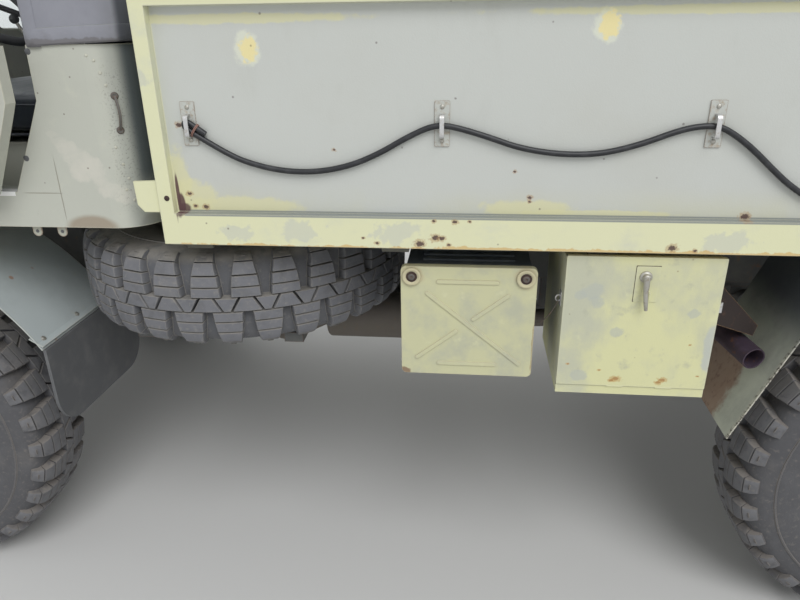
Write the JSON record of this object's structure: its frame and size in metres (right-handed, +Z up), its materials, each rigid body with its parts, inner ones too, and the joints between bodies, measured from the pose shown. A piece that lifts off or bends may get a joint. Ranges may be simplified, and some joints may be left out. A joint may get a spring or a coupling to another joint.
{
  "type": "military cargo truck",
  "caption": "Small four-wheeled military cargo truck with an open-sided canvas cab, half doors, a low steel cargo body, a spare wheel slung behind the cab and side boxes.",
  "frame": {"origin": "on the ground below the middle of the truck's overall box", "axes": "+X forward, +Y to the truck's left, +Z up"},
  "size_m": [4.672, 2.3, 2.35],
  "materials": {
    "body_paint": "matte",
    "worn_paint": "matte",
    "frame_steel": "matte",
    "rusty_steel": "matte",
    "wheel_steel": "matte",
    "tyre_rubber": "matte",
    "rubber": "matte",
    "canvas": "matte",
    "seat_vinyl": "satin",
    "black_plastic": "satin",
    "clear_glass": "gloss",
    "lamp_glass": "gloss"
  },
  "bodies": {
    "root": {"battery_box": "worn_paint", "battery_cover": "worn_paint", "bed_floor": "frame_steel", "bed_front": "body_paint", "bed_side_left": "body_paint", "bed_side_right": "body_paint", "cab_cowl": "body_paint", "cab_floor": "worn_paint", "cab_shell": "body_paint", "chassis_frame": "frame_steel", "cord_tube": "rubber", "driveline": "frame_steel", "engine_block": "frame_steel", "exhaust": "rusty_steel", "front_axle": "frame_steel", "front_bumper": "worn_paint", "front_flaps": "rubber", "front_wings": "body_paint", "fuel_tank": "worn_paint", "grille_panel": "body_paint", "headlamps": "lamp_glass", "leaf_springs": "frame_steel", "mirrors": "body_paint", "mudguards": "worn_paint", "rear_axle": "frame_steel", "rim_spare": "wheel_steel", "seat_backs": "seat_vinyl", "seat_bases": "frame_steel", "seat_cushions": "seat_vinyl", "soft_top": "canvas", "spare_carrier": "frame_steel", "staples": "worn_paint", "steering_wheel": "black_plastic", "tail_lamps": "lamp_glass", "toolbox": "worn_paint", "tyre_spare": "tyre_rubber", "windscreen_frame": "body_paint", "windscreen_glass": "clear_glass"},
    "bonnet_lid": {"bonnet": "body_paint"},
    "left_door": {"door_left": "body_paint"},
    "right_door": {"door_right": "body_paint"},
    "rear_gate": {"tailgate": "body_paint"},
    "toolbox_lid": {"toolbox_door": "worn_paint"},
    "left_knuckle": {"knuckle_left": "frame_steel"},
    "right_knuckle": {"knuckle_right": "frame_steel"},
    "wheel_front_left": {"rim_front_left": "wheel_steel", "tyre_front_left": "tyre_rubber"},
    "wheel_front_right": {"rim_front_right": "wheel_steel", "tyre_front_right": "tyre_rubber"},
    "wheel_rear_left": {"rim_rear_left": "wheel_steel", "tyre_rear_left": "tyre_rubber"},
    "wheel_rear_right": {"rim_rear_right": "wheel_steel", "tyre_rear_right": "tyre_rubber"}
  },
  "joints": [
    {"name": "steer_left", "type": "hinge", "parent": "root", "child": "left_knuckle", "pos_m": [1.46, 0.69, 0.46], "axis": [0, 0, 1], "range_deg": [-28, 28]},
    {"name": "steer_right", "type": "hinge", "parent": "root", "child": "right_knuckle", "pos_m": [1.46, -0.69, 0.46], "axis": [0, 0, 1], "range_deg": [-28, 28]},
    {"name": "spin_front_left", "type": "hinge", "parent": "left_knuckle", "child": "wheel_front_left", "pos_m": [1.46, 0.79, 0.46], "axis": [0, 1, 0], "continuous": true},
    {"name": "spin_front_right", "type": "hinge", "parent": "right_knuckle", "child": "wheel_front_right", "pos_m": [1.46, -0.79, 0.46], "axis": [0, 1, 0], "continuous": true},
    {"name": "spin_rear_left", "type": "hinge", "parent": "root", "child": "wheel_rear_left", "pos_m": [-1.34, 0.79, 0.46], "axis": [0, 1, 0], "continuous": true},
    {"name": "spin_rear_right", "type": "hinge", "parent": "root", "child": "wheel_rear_right", "pos_m": [-1.34, -0.79, 0.46], "axis": [0, 1, 0], "continuous": true},
    {"name": "door_left_hinge", "type": "hinge", "parent": "root", "child": "left_door", "pos_m": [1.468, 0.9663, 1.35], "axis": [0, 0, -1], "range_deg": [-7, 63]},
    {"name": "door_right_hinge", "type": "hinge", "parent": "root", "child": "right_door", "pos_m": [1.468, -0.9663, 1.35], "axis": [0, 0, 1], "range_deg": [0, 70]},
    {"name": "bonnet_hinge", "type": "hinge", "parent": "root", "child": "bonnet_lid", "pos_m": [1.568, 0, 1.5173], "axis": [0, -1, 0], "range_deg": [0, 55]},
    {"name": "tailgate_hinge", "type": "hinge", "parent": "root", "child": "rear_gate", "pos_m": [-2.328, 0, 1.158], "axis": [0, -1, 0], "range_deg": [0, 170]},
    {"name": "toolbox_hinge", "type": "hinge", "parent": "root", "child": "toolbox_lid", "pos_m": [-0.5545, 0.989, 0.766], "axis": [-1, 0, 0], "range_deg": [0, 170]}
  ],
  "couplings": [
    {"joint": "steer_right", "follows": "steer_left", "ratio": 1}
  ]
}
